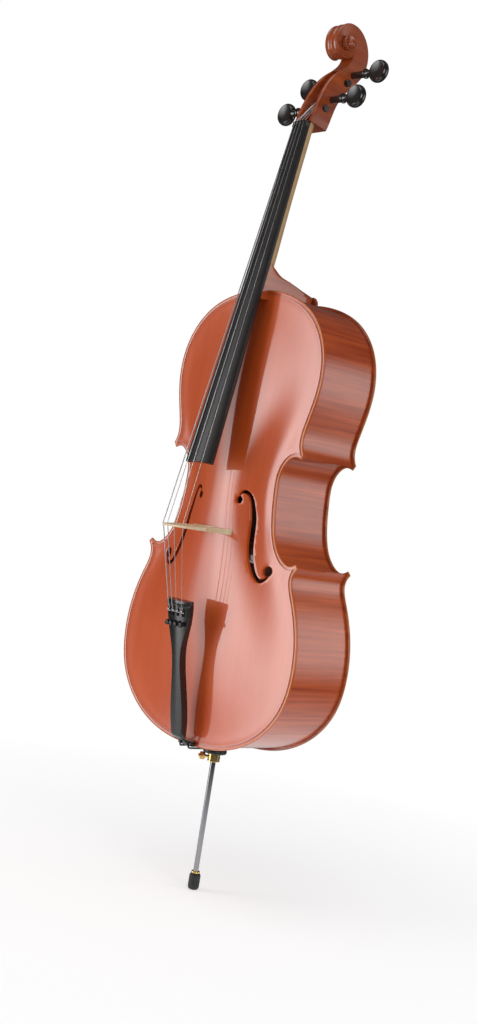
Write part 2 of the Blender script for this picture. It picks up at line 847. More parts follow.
@dataclass
class Plate:
    """An arched plate with a rounded, overhanging edge and a hollow inside."""

    name: str
    crown: float
    front: bool
    extra: float
    edge: float = PLATE_EDGE
    rounding: float = 2.1
    channel: float = 0.55
    lining: float = 6.3
    spacing: float = 4.6
    holes: tuple[np.ndarray, ...] = ()
    button: float = 0.0

    def _outline(self) -> np.ndarray:
        """Outline, with the button that carries the neck's heel where there is one."""
        polygon = OUTLINE.polygon()
        if not self.button:
            return spaced(polygon, 3.0)
        turns = np.linspace(0, math.tau, 48, endpoint=False)
        disc = np.column_stack([np.cos(turns), np.sin(turns)]) * self.button
        return spaced(united([spaced(polygon, 3.0), disc + (0, OUTLINE.length)]), 3.0)

    def _outer(self, points: np.ndarray, gaps: np.ndarray, hole_gaps: np.ndarray) -> np.ndarray:
        """Height of the outer face above the gluing plane."""
        arch = np.array([OUTLINE.arch(x, z, self.crown) for x, z in points])
        dip = self.channel * np.exp(-(((gaps - 7.0) / 3.4) ** 2))
        soft = 0.4 * np.clip(1 - hole_gaps / 0.9, 0, 1) ** 2
        return self.edge + arch - dip - soft

    def _inner(self, points: np.ndarray, gaps: np.ndarray) -> np.ndarray:
        """Height of the hollow inside."""
        arch = np.array([OUTLINE.arch(x, z, self.crown) for x, z in points])
        share = np.clip((gaps - self.lining) / 6.0, 0, 1)
        return np.maximum(0.0, arch - self.extra) * share

    def build(self) -> Shape:
        """The plate as one closed skin."""
        shape = Shape(self.name)
        border = self._outline()
        edge_rings = []
        quarter = [math.radians(a) for a in (0, 25, 50, 72, 90)]
        for angle in quarter:
            gap = self.rounding * (1 - math.cos(angle))
            edge_rings.append((moved_inward(border, gap), self.rounding * math.sin(angle)))
        inner_border = edge_rings[-1][0]
        flat, faces, rim, hole_rims = self._field(border, inner_border)
        gaps = distance_to(flat, border)
        hole_gaps = np.full(len(flat), 99.0)
        for hole in self.holes:
            hole_gaps = np.minimum(hole_gaps, distance_to(flat, hole))
        outer = self._outer(flat, gaps, hole_gaps)
        inner = self._inner(flat, gaps)
        top = shape.add(self._places(flat, outer))
        under = shape.add(self._places(flat, inner))
        for face in faces:
            shape.faces.append(tuple(top[i] for i in face))
            shape.faces.append(tuple(under[i] for i in reversed(face)))
        for rim_loop in hole_rims:
            shape.skin([[top[i] for i in rim_loop], [under[i] for i in rim_loop]])
        rows = [[top[i] for i in rim]]
        for ring, rise in reversed(edge_rings[:-1]):
            rows.append(shape.add(self._places(ring, [self.edge - self.rounding + rise] * len(ring))))
        for ring, rise in edge_rings[:-1]:
            rows.append(shape.add(self._places(ring, [self.rounding - rise] * len(ring))))
        rows.append([under[i] for i in rim])
        shape.skin(rows)
        return shape

    def _places(self, flat: np.ndarray, heights: Iterable[float]) -> list[Vector]:
        """Points of the plate from its flat drawing and heights."""
        side = -1 if self.front else 1
        base = DATUM.half_rib
        return [DATUM.place(x, side * (base + h), z) for (x, z), h in zip(flat, heights)]

    def _field(self, border: np.ndarray, rim: np.ndarray) -> tuple:
        """Triangles over the plate inside its rounded edge.

        Returns:
            Points, faces, the rim's point numbers in order, and those of each hole.
        """
        rings = [moved_inward(border, gap) for gap in (3.0, 4.2, 5.6, 7.2, 9.2, 12.0)]
        across = np.arange(-OUTLINE.lower_bout / 2, OUTLINE.lower_bout / 2, self.spacing)
        up = np.arange(0, OUTLINE.length + 20, self.spacing)
        grid = np.array([(x + (k % 2) * self.spacing / 2, z) for k, z in enumerate(up) for x in across])
        scattered = [ring[distance_to(ring, border) > gap - 0.25] for ring, gap in
                     zip(rings, (3.0, 4.2, 5.6, 7.2, 9.2, 12.0))]
        grid = grid[inside(grid, rim)]
        grid = grid[distance_to(grid, border) > 14.0]
        free = np.vstack(scattered + [grid])
        holes = [spaced(hole, 1.6) for hole in self.holes]
        for hole in holes:
            grown = moved_inward(hole[::-1], 0.9)[::-1]
            clear = ~inside(free, hole) & (distance_to(free, hole) > 2.4)
            free = np.vstack([free[clear], grown[~inside(grown, hole)]])
        points = [Vector(p) for p in rim]
        edges = [(i, (i + 1) % len(rim)) for i in range(len(rim))]
        hole_starts = []
        for hole in holes:
            start = len(points)
            hole_starts.append((start, len(hole)))
            points.extend(Vector(p) for p in hole)
            edges.extend((start + i, start + (i + 1) % len(hole)) for i in range(len(hole)))
        points.extend(Vector(p) for p in free)
        places, _, faces, origins, *_ = delaunay_2d_cdt(points, edges, [], 0, 1e-5)
        flat = np.array([tuple(p) for p in places])
        number = {source: k for k, sources in enumerate(origins) for source in sources}
        middles = np.array([flat[list(face)].mean(axis=0) for face in faces])
        keep = inside(middles, rim)
        for hole in holes:
            keep &= ~inside(middles, hole)
        kept = [tuple(face) for face, use in zip(faces, keep) if use]
        rim_loop = [number[i] for i in range(len(rim))]
        loops = [[number[start + i] for i in range(count)] for start, count in hole_starts]
        return flat, kept, rim_loop, loops


@dataclass
class Body:
    """The box of the instrument: plates, ribs, purfling and the wood inside."""

    overhang: float = 4.5
    rib: float = 1.8
    top_crown: float = TOP_CROWN
    back_crown: float = 25.0
    purfling_gap: float = 5.0
    purfling_width: float = 1.5

    spruce: VarnishedWood = VarnishedWood(
        "spruce_varnish", GrainWay.STANDING, (0.54, 0.060, 0.007), (0.72, 0.120, 0.018), 0.45)
    maple: VarnishedWood = VarnishedWood(
        "rib_varnish", GrainWay.FLAMED_BENT, (0.34, 0.034, 0.005), (0.78, 0.145, 0.022), 0.55, 4.5)
    back_maple: VarnishedWood = VarnishedWood(
        "back_varnish", GrainWay.FLAMED_STANDING, (0.28, 0.035, 0.007), (0.62, 0.13, 0.026), 0.7, 8.0)
    inlay: Inlay = Inlay("purfling_inlay")
    inside_wood: BareWood = BareWood("bare_spruce", (0.62, 0.42, 0.22), (0.45, 0.28, 0.13))

    def build(self) -> None:
        """Build and dress every piece of the body."""
        hole = SoundHole().outline()
        mirrored = np.column_stack([-hole[:, 0], hole[:, 1]])[::-1]
        top = Plate("top_plate_carved", self.top_crown, True, 0.8, holes=(hole, mirrored))
        install(top.build().finish(50), self.spruce.material(), "cello", ["top_plate"])
        back = Plate("back_plate_carved", self.back_crown, False, 1.6, button=14.0)
        install(back.build().finish(50), self.back_maple.material(), "cello", ["back_plate"])
        self._ribs()
        self._purfling()
        wood = self.inside_wood.material()
        for name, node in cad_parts.items():
            if "block" in name or "lining" in name or name in ("bass_bar", "soundpost"):
                node.data.materials.clear()
                node.data.materials.append(wood)

    def _ribs(self) -> None:
        """Six bent strips, mitred where they meet at the corners."""
        finish = self.maple.material()
        outer = OUTLINE.drawn_in(self.overhang)
        inner = OUTLINE.drawn_in(self.overhang + self.rib)
        for side, treble in (("treble", True), ("bass", False)):
            for name, index, half in (("lower", 0, True), ("waist", 1, False), ("upper", 2, True)):
                outside, within = outer[index], inner[index]
                if half:
                    outside, within = self._half(outside, name), self._half(within, name)
                if not treble:
                    outside, within = outside * (-1, 1), within * (-1, 1)
                piece = self._strip(f"{name}_rib_bent_{side}", outside, within)
                install(piece, finish, "cello", [f"{name}_rib_{side}"])

    @staticmethod
    def _half(run: np.ndarray, name: str) -> np.ndarray:
        """The treble half of a bout that crosses the middle."""
        kept = run[run[:, 0] > 0]
        ends = run[np.argmin(np.abs(run[:, 0]))][1]
        middle = np.array([[0.0, ends]])
        return np.vstack([middle, kept] if name == "lower" else [kept, middle])

    def _strip(self, name: str, outside: np.ndarray, within: np.ndarray) -> bpy.types.Object:
        """One rib between two lines, with the run along it kept for the grain."""
        count = 150
        lines = []
        for run in (outside, within):
            reach = np.concatenate([[0], np.cumsum(np.linalg.norm(np.diff(run, axis=0), axis=1))])
            steps = np.linspace(0, reach[-1], count + 1)
            places = np.column_stack([np.interp(steps, reach, run[:, k]) for k in (0, 1)])
            lines.append((steps, places))
        shape = Shape(name)
        depth = DATUM.half_rib
        rows = []
        for i in range(count + 1):
            row = []
            for (steps, places), backs in zip(lines, ((-depth, 0.0, depth), (depth, -depth))):
                x, z = places[i]
                row += shape.add([DATUM.place(x, b, z) for b in backs], [(steps[i], b) for b in backs])
            rows.append(row)
        shape.skin(rows)
        shape.faces.append(tuple(reversed(rows[0])))
        shape.faces.append(tuple(rows[-1]))
        return shape.finish(40)

    def _purfling(self) -> None:
        """The inlaid strips, swept round both plates by geometry nodes."""
        finish = self.inlay.material()
        edge = BareWood("worn_edge", (0.86, 0.47, 0.14), (0.66, 0.28, 0.07), 0.35).material()
        gap = self.purfling_gap + self.purfling_width / 2
        runs = OUTLINE.drawn_in(gap)
        for name, side, crown in (("top", -1, self.top_crown), ("back", 1, self.back_crown)):
            plate = Plate(name, crown, side < 0, 0.0)
            flat = spaced(np.vstack(runs), 3.0)
            lift = plate._outer(flat, np.full(len(flat), gap), np.full(len(flat), 99.0))
            places = [DATUM.place(x, side * (DATUM.half_rib + h + 0.02), z) for (x, z), h in zip(flat, lift)]
            strip = RibbonTree(finish).run(f"{name}_purfling_inlaid", places, self.purfling_width, 0.24)
            install(strip, finish, "cello", [f"{name}_purfling"])
            rim = spaced(np.vstack(OUTLINE.drawn_in(0.9)), 3.0)
            rim = rim[inside(rim, OUTLINE.polygon())]
            lift = plate._outer(rim, np.full(len(rim), 0.9), np.full(len(rim), 99.0))
            places = [DATUM.place(x, side * (DATUM.half_rib + h - 0.1), z) for (x, z), h in zip(rim, lift)]
            worn = RibbonTree(edge).run(f"{name}_plate_worn_edge", places, 1.8, 0.3)
            install(worn, edge, "cello", [f"{name}_plate"])


# ---------------------------------------------------------------- geometry nodes
class GeometryTree:
    """A geometry-nodes tree with named sizes, run once to make a plain mesh."""

    def __init__(self, name: str, sizes: Sequence[str]) -> None:
        """Start a tree with a geometry input and these sizes."""
        self.tree = bpy.data.node_groups.new(name, "GeometryNodeTree")
        interface = self.tree.interface
        interface.new_socket(name="Geometry", in_out="INPUT", socket_type="NodeSocketGeometry")
        for size in sizes:
            interface.new_socket(name=size, in_out="INPUT", socket_type="NodeSocketFloat")
        interface.new_socket(name="Geometry", in_out="OUTPUT", socket_type="NodeSocketGeometry")
        self.entry = self.tree.nodes.new("NodeGroupInput")
        self.leave = self.tree.nodes.new("NodeGroupOutput")

    def size(self, name: str) -> bpy.types.NodeSocket:
        """One of the tree's inputs."""
        return self.entry.outputs[name]

    def node(self, kind: str, settings: dict, values: dict, output: int | str = 0) -> bpy.types.NodeSocket:
        """Add a node, set its properties, feed its sockets and return one of its outputs."""
        node = self.tree.nodes.new(kind)
        for key, value in settings.items():
            setattr(node, key, value)
        for key, value in values.items():
            if isinstance(value, bpy.types.NodeSocket):
                self.tree.links.new(value, node.inputs[key])
            else:
                node.inputs[key].default_value = value
        return node.outputs[output]

    def captured(self, geometry: bpy.types.NodeSocket, value: bpy.types.NodeSocket, kind: str) -> tuple:
        """Keep a field on the points of a geometry, for use after it is swept."""
        node = self.tree.nodes.new("GeometryNodeCaptureAttribute")
        node.capture_items.new(kind, "kept")
        self.tree.links.new(geometry, node.inputs[0])
        self.tree.links.new(value, node.inputs[1])
        return node.outputs[0], node.outputs[1]

    def close(self, geometry: bpy.types.NodeSocket, material: bpy.types.Material) -> None:
        """End the tree: realise the instances and set the material."""
        real = self.node("GeometryNodeRealizeInstances", {}, {0: geometry})
        dressed = self.node("GeometryNodeSetMaterial", {}, {"Geometry": real, "Material": material})
        self.tree.links.new(dressed, self.leave.inputs[0])

    def make(self, name: str, mesh: bpy.types.Mesh, sizes: dict[str, float]) -> bpy.types.Object:
        """Run the tree on a mesh.

        Args:
            name: name of the piece.
            mesh: what goes into the geometry input.
            sizes: a value for each named input.

        Returns:
            A new object with the result as its own plain mesh.
        """
        piece = bpy.data.objects.new(name, mesh)
        bpy.context.scene.collection.objects.link(piece)
        modifier = piece.modifiers.new("shape", "NODES")
        modifier.node_group = self.tree
        for item in self.tree.interface.items_tree:
            if item.item_type == "SOCKET" and item.in_out == "INPUT" and item.name in sizes:
                modifier[item.identifier] = float(sizes[item.name])
        graph = bpy.context.evaluated_depsgraph_get()
        result = bpy.data.meshes.new_from_object(piece.evaluated_get(graph))
        piece.modifiers.clear()
        piece.data = result
        result.polygons.foreach_set("use_smooth", [True] * len(result.polygons))
        result.set_sharp_from_angle(angle=math.radians(35))
        return piece


def path_mesh(name: str, places: Sequence[Vector], closed: bool) -> bpy.types.Mesh:
    """A line of edges through places given in millimetres."""
    mesh = bpy.data.meshes.new(name)
    count = len(places)
    edges = [(i, (i + 1) % count) for i in range(count if closed else count - 1)]
    mesh.from_pydata([p / METRE for p in places], edges, [])
    return mesh


class RibbonTree(GeometryTree):
    """Sweeps a flat strip along a closed path."""

    def __init__(self, material: bpy.types.Material) -> None:
        """Build the tree."""
        super().__init__("inlaid_strip", ["Width", "Height"])
        path = self.node("GeometryNodeMeshToCurve", {}, {0: self.entry.outputs[0]})
        sizes = {"Width": self.size("Width"), "Height": self.size("Height")}
        profile = self.node("GeometryNodeCurvePrimitiveQuadrilateral", {}, sizes)
        place = self.node("GeometryNodeInputPosition", {}, {})
        sideways = self.node("ShaderNodeSeparateXYZ", {}, {0: place}, 0)
        share = self.node("ShaderNodeMath", {"operation": "DIVIDE"}, {0: sideways, 1: self.size("Width")})
        across = self.node("ShaderNodeMath", {"operation": "MULTIPLY_ADD"}, {0: share, 1: 0.001, 2: 0.0005})
        profile, kept = self.captured(profile, across, "FLOAT")
        strip = self.node("GeometryNodeCurveToMesh", {}, {"Curve": path, "Profile Curve": profile})
        pair = self.node("ShaderNodeCombineXYZ", {}, {1: kept})
        settings = {"data_type": "FLOAT2", "domain": "CORNER"}
        values = {"Geometry": strip, "Name": "grain", "Value": pair}
        self.close(self.node("GeometryNodeStoreNamedAttribute", settings, values), material)

    def run(self, name: str, places: Sequence[Vector], width: float, height: float) -> bpy.types.Object:
        """One strip, `width` wide and `height` thick."""
        mesh = path_mesh(name, places, True)
        return self.make(name, mesh, {"Width": width / METRE, "Height": height / METRE})


class CoilTree(GeometryTree):
    """Winds a string round a peg in close turns."""

    def __init__(self, material: bpy.types.Material) -> None:
        """Build the tree."""
        super().__init__("coil", ["Radius", "Wire", "Turns", "Length"])
        values = {
            "Resolution": 40,
            "Rotations": self.size("Turns"),
            "Start Radius": self.size("Radius"),
            "End Radius": self.size("Radius"),
            "Height": self.size("Length"),
        }
        spiral = self.node("GeometryNodeCurveSpiral", {}, values)
        profile = self.node(
            "GeometryNodeCurvePrimitiveCircle", {}, {"Resolution": 10, "Radius": self.size("Wire")})
        values = {"Curve": spiral, "Profile Curve": profile, "Fill Caps": True}
        coil = self.node("GeometryNodeCurveToMesh", {}, values)
        first = self.node("GeometryNodeTransform", {}, {"Geometry": coil, "Rotation": Euler((0, math.pi / 2, 0))})
        both = self.node("GeometryNodeJoinGeometry", {}, {0: first})
        self.close(both, material)


class KnurlTree(GeometryTree):
    """Stands small ridges in a ring, for a grip."""

    def __init__(self, material: bpy.types.Material) -> None:
        """Build the tree."""
        super().__init__("knurl", ["Radius", "Ridge", "Height", "Count"])
        ring = self.node(
            "GeometryNodeMeshCircle", {}, {"Vertices": self.size("Count"), "Radius": self.size("Radius")})
        values = {"Vertices": 5, "Radius": self.size("Ridge"), "Depth": self.size("Height")}
        ridge = self.node("GeometryNodeMeshCylinder", {}, values)
        self.close(self.node("GeometryNodeInstanceOnPoints", {}, {"Points": ring, "Instance": ridge}), material)


# ---------------------------------------------------------------- neck and head
@dataclass
class Neck:
    """Neck, heel, pegbox and scroll, carved from one piece of maple."""

    board_angle: float = 10.1
    board_overlap: float = 298.0
    board_rise: float = 75.0
    board_length: float = 587.0
    board_low: float = 62.5
    board_nut: float = 31.5
    board_edge: float = 7.0
    board_radius: float = 68.0
    nut_length: float = 9.0
    shaft_depth: float = 17.5
    button: float = 14.0
    front: tuple = ((32, 289), (35.5, 302), (51, 346), (75, 382), (105, 411))
    back: tuple = ((70, 283), (78, 307), (90, 337), (110, 364), (136, 393))
    eye: Point = (92.0, 438.0)
    radii: tuple = (55, 37, 25, 22.5, 19, 15.5, 12.5, 10, 8, 6.5, 5.5, 4.5, 4)
    floor: float = 5.0
    wall: float = 6.5
    varnish: VarnishedWood = VarnishedWood(
        "scroll_varnish", GrainWay.FLAMED_STANDING, (0.24, 0.030, 0.005), (0.58, 0.115, 0.018), 0.5, 9.0, 0.06)
    bare: BareWood = BareWood("bare_maple_neck", (0.66, 0.44, 0.22), (0.46, 0.26, 0.11), 0.42)

    def board_point(self, run: float, rise: float) -> Point:
        """(back, station) on the fingerboard's line."""
        sine, cosine = math.sin(math.radians(self.board_angle)), math.cos(math.radians(self.board_angle))
        back = -DATUM.half_depth - self.board_rise + run * sine - rise * cosine
        return back, DATUM.length - self.board_overlap + run * cosine + rise * sine

    def board_half(self, run: float) -> float:
        """Half the fingerboard's width."""
        return lerp(self.board_low, self.board_nut, run / self.board_length) / 2

    @staticmethod
    def section(back: Point, front: Point, half: Sequence[Point]) -> list[Vector]:
        """A closed section across the piece.

        Args:
            back: where the section starts, in the plane of symmetry.
            front: where it ends there.
            half: (sideways, share of the way to the front) of its treble half, in order.

        Returns:
            Points round the section, mirrored to the bass side.
        """
        ring = []
        for x, share in list(half) + [(-x, share) for x, share in reversed(half[1:-1])]:
            ring.append(DATUM.place(x, lerp(back[0], front[0], share), lerp(back[1], front[1], share)))
        return ring

    def carved_half(self, deep: float, wide: float, front_wide: float, hollow: float, hollow_half: float,
                    flute: float, chamfer: float = 1.3) -> list[Point]:
        """Half of a head section: flutes, chamfers, cheek and hollow, in millimetres of depth."""
        points = [(0.0, 0.0), (wide * 0.05, 0.0)]
        for share in (0.12, 0.26, 0.42, 0.58, 0.74, 0.86):
            points.append((wide * share, flute * math.sin(math.pi * (share - 0.05) / 0.88)))
        points += [(wide - chamfer, 0.0), (wide - chamfer * 0.45, chamfer * 0.3), (wide, chamfer)]
        for share in (0.25, 0.5, 0.75):
            points.append((lerp(wide, front_wide, share), lerp(chamfer, deep - chamfer, share)))
        points += [(front_wide, deep - chamfer), (front_wide - chamfer, deep)]
        points += [(hollow_half + 0.8, deep), (hollow_half, deep - min(0.8, hollow))]
        points += [(hollow_half, deep - hollow * 0.85), (hollow_half * 0.8, deep - hollow)]
        points.append((0.0, deep - hollow))
        return [(x, depth / deep) for x, depth in points]

    @cached_property
    def spiral(self) -> np.ndarray:
        """The volute's radius, with 20 units of turn to each quarter."""
        return smooth_curve([(20.0 * k, r) for k, r in enumerate(self.radii)], 400)

    def radius(self, turn: float) -> float:
        """Radius of the volute after an angle from the back of the head."""
        return float(np.interp(turn / (math.pi / 2) * 20.0, self.spiral[:, 0], self.spiral[:, 1]))

    def head(self) -> Shape:
        """Pegbox and volute as one swept skin, with the two eyes."""
        eye = DATUM.head(*self.eye)
        outer_start = (eye[0] + self.radius(0), eye[1])
        inner_start = (eye[0] + self.radius(math.tau) - 1.5, eye[1])
        back = smooth_curve([DATUM.head(*p) for p in self.back] + [outer_start], 60)
        front = smooth_curve([DATUM.head(*p) for p in self.front] + [inner_start], 60)
        sections = []
        for i in range(60):
            share = i / 60
            deep = float(np.linalg.norm(back[i] - front[i]))
            wide = along_stops([(0, 20.5), (0.08, 20.5), (0.55, 15.6), (0.8, 13.9), (1, 13.6)], share)
            front_wide = along_stops([(0, 20.5), (0.1, 20.3), (0.6, 15.4), (1, 13.8)], share)
            hollow = (deep - self.floor) * eased(share / 0.1) * eased((0.72 - share) / 0.03)
            flute = 2.4 * eased(share / 0.25)
            half = self.carved_half(deep, wide, front_wide, max(hollow, 0.01), front_wide - self.wall, flute)
            sections.append(self.section(tuple(back[i]), tuple(front[i]), half))
        steps = 150
        for i in range(steps + 1):
            turn = 4.1 * math.pi * i / steps
            widths = [(0, 13.6), (math.pi, 14.4), (math.tau, 18.2), (3 * math.pi, 22.5), (4.1 * math.pi, 27.5)]
            wide = along_stops(widths, turn)
            outer, inner = self.radius(turn), max(0.5, self.radius(turn + math.tau) - 1.5)
            way = (math.cos(turn), math.sin(turn))
            deep = outer - inner
            half = self.carved_half(
                deep, wide, wide - 2.0 * min(1.0, deep / 10.0) * eased((turn - 0.5) / 2.0), 0.01, wide * 0.5,
                min(2.4, deep * 0.16), min(1.3, deep * 0.14))
            outside = (eye[0] + way[0] * outer, eye[1] + way[1] * outer)
            within = (eye[0] + way[0] * inner, eye[1] + way[1] * inner)
            sections.append(self.section(outside, within, half))
        shape = Shape("scroll_carved")
        shape.sweep(sections)
        profile = [(0.01, -31.0), (2.6, -30.8), (5.6, -29.6), (7.2, -27.6), (7.4, -24.0)]
        profile += [(radius, -height) for radius, height in reversed(profile)]
        shape.lathe(profile, DATUM.place(0, *eye), Vector((1, 0, 0)), 32)
        return shape

    def shaft_half(self, front_half: float, back_half: float, heel: float) -> list[Point]:
        """Half of a neck section, from a rounded back to the fingerboard's width."""
        points = []
        for i in range(15):
            angle = math.pi / 2 * i / 14
            round_x = front_half * math.sin(angle)
            share = 1 - math.cos(angle)
            bulge = lerp(back_half, front_half, share ** 0.8) * min(1.0, math.sin(angle) * 1.9)
            points.append((lerp(round_x, bulge, heel), share))
        return points + [(0.0, 1.0)]

    def shaft(self) -> list[tuple[Point, Point, list[Point]]]:
        """Sections of the neck from the nut down to the button: back, front and half shape."""
        result = []
        heel_top = self.board_overlap + 36.0
        top = self.board_length + self.nut_length
        for i in range(25):
            run = lerp(top + 5.0, heel_top + 14, i / 24)
            depth = self.shaft_depth + 2.5 * eased((i - 12) / 12)
            wide = self.board_half(min(run, self.board_length))
            front = self.board_point(run, -self.board_edge)
            back = self.board_point(run, -self.board_edge - depth)
            result.append((back, front, self.shaft_half(wide, self.button, 0.0)))
        back_end = result[-1][0]
        heel = [
            back_end,
            (back_end[0] - 0.5, back_end[1] - 9),
            (back_end[0] + 3.5, DATUM.length + 31.5),
            (back_end[0] + 16, DATUM.length + 26.5),
            (-5.0, DATUM.length + 23.0),
            (DATUM.half_rib - 30, DATUM.length + 18.0),
            (DATUM.half_rib - 1.0, DATUM.length + 12.0),
        ]
        line = smooth_curve(heel, 40)[1:]
        for i, point in enumerate(line):
            share = (i + 1) / len(line)
            run = lerp(heel_top + 14, self.board_overlap - 12, eased(share) * 0.9 + 0.1 * share)
            front = self.board_point(run, -self.board_edge)
            wide = lerp(self.board_half(heel_top), 23.0, eased(share))
            half = self.shaft_half(wide, lerp(20.0, self.button, share), eased(share * 2.5))
            result.append(((float(point[0]), float(point[1])), front, half))
        root = self.board_point(self.board_overlap - 14, -self.board_edge)
        result.append(((DATUM.half_rib - 1.0, DATUM.length - 4), root, result[-1][2]))
        return result

    def build(self) -> None:
        """Build the head, the bare shaft and the varnished heel."""
        varnish = self.varnish.material()
        install(self.head().finish(32), varnish, "cello", ["neck_scroll"])
        sections = self.shaft()
        cut = 26
        for name, part, finish in (
            ("neck_shaft_bare", sections[: cut + 1], self.bare.material()),
            ("neck_heel_varnished", sections[cut:], varnish),
        ):
            shape = Shape(name)
            shape.sweep([self.section(*section) for section in part])
            install(shape.finish(40), finish, "cello", ["neck_scroll"])
        self._board()

    def _board(self) -> None:
        """The fingerboard, with its curved face, softened arrises and scooped underside."""
        sections = []
        for i in range(41):
            run = self.board_length * i / 40
            half = self.board_half(run)
            soft = 0.7
            points = []
            for k in range(13):
                x = (half - soft) * k / 12
                sag = self.board_radius - math.sqrt(self.board_radius**2 - x * x)
                points.append((x, -sag))
            edge_sag = self.board_radius - math.sqrt(self.board_radius**2 - half * half)
            points += [(half - 0.2, -edge_sag - 0.1), (half, -edge_sag - soft)]
            points += [(half, -edge_sag - self.board_edge + soft), (half - soft, -edge_sag - self.board_edge)]
            free = eased((self.board_overlap - 8 - run) / 6)
            wall = 7.5
            lift = max(0.0, edge_sag + self.board_edge - wall) * free
            under = -edge_sag - self.board_edge
            points += [(half - 5.5, under), (half * 0.55, under + lift * 0.7), (0.0, under + lift)]
            ring = []
            for x, rise in points + [(-x, rise) for x, rise in reversed(points[1:-1])]:
                back, station = self.board_point(run, rise + edge_sag)
                ring.append(DATUM.place(x, back, station))
            sections.append(ring)
        shape = Shape("fingerboard_planed")
        shape.sweep(sections)
        finish = Ebony("ebony_board", 0.36, coat=0.12).material()
        install(shape.finish(28), finish, "cello", ["fingerboard"])


# ---------------------------------------------------------------- pegs and strings
@dataclass
class Pegs:
    """Four turned ebony pegs and the string wound on each."""

    places: dict = field(default_factory=lambda: {
        "c": (60.5, 318.5, -1, -5.0, 0.9), "a": (74.0, 337.0, 1, 5.0, 0.5),
        "g": (103.5, 375.5, -1, -3.0, 0.75), "d": (117.0, 393.0, 1, 3.0, 0.6)})
    shaft: float = 6.2
    reach: float = 73.0
    head: float = 19.0
    thick: float = 13.0
    tail: float = 22.5

    def _peg(self, name: str, centre: Vector, side: int) -> bpy.types.Object:
        """One peg: shaft, collar and a disc-shaped head with a raised rim."""
        shape = Shape(f"peg_{name}_turned")
        head_edge = self.reach - self.head
        shaft = [
            (0.01, -self.tail), (5.2, -self.tail), (5.9, -self.tail + 0.7), (self.shaft, -self.tail + 2),
            (self.shaft, head_edge - 16), (6.6, head_edge - 14), (6.7, head_edge - 12), (8.3, head_edge - 11.2),
            (8.6, head_edge - 9.8), (8.3, head_edge - 8.6), (6.3, head_edge - 7.8), (5.7, head_edge - 5),
            (5.9, head_edge - 1), (6.4, head_edge + 4), (0.01, head_edge + 5),
        ]
        shape.lathe(shaft, centre, Vector((side, 0, 0)), 40)
        half = self.thick / 2
        rim = self.head
        disc = [(0.01, -half + 1.6), (rim * 0.45, -half + 1.3), (rim * 0.74, -half + 0.3), (rim * 0.8, -half),
                (rim * 0.845, -half + 0.5), (rim * 0.87, -half + 0.9), (rim * 0.9, -half + 0.7),
                (rim * 0.96, -half * 0.62), (rim * 0.992, -half * 0.3), (rim, 0)]
        disc += [(r, -h) for r, h in reversed(disc[:-1])]
        spot = centre + Vector((side * self.reach, 0, 0))
        shape.lathe(disc, spot, Vector((0, 1, 0)), 56)
        return shape.finish(30)

    def build(self) -> None:
        """Build the pegs and their windings."""
        ebony = Ebony("ebony_peg", 0.2, coat=0.8).material()
        steel = WoundString("wound_string").material()
        coil = CoilTree(steel)
        for name, (behind, above, side, sideways, wire) in self.places.items():
            centre = DATUM.place(0, *DATUM.head(behind, above))
            body = f"peg_{name}_body"
            install(self._peg(name, centre, side), ebony, body, [f"peg_{name}"])
            length = 6.4 - 2 * wire
            sizes = {
                "Radius": (self.shaft + wire) / METRE,
                "Wire": wire / METRE,
                "Turns": length / (2.1 * wire),
                "Length": length / METRE,
            }
            piece = coil.make(f"winding_{name}_turns", bpy.data.meshes.new(name), sizes)
            piece.data.transform(Matrix.Translation((centre + Vector((sideways - length / 2, 0, 0))) / METRE))
            install(piece, steel, body, [f"winding_{name}"])
        for name in ("string_c", "string_g", "string_d", "string_a"):
            redress(name, steel)


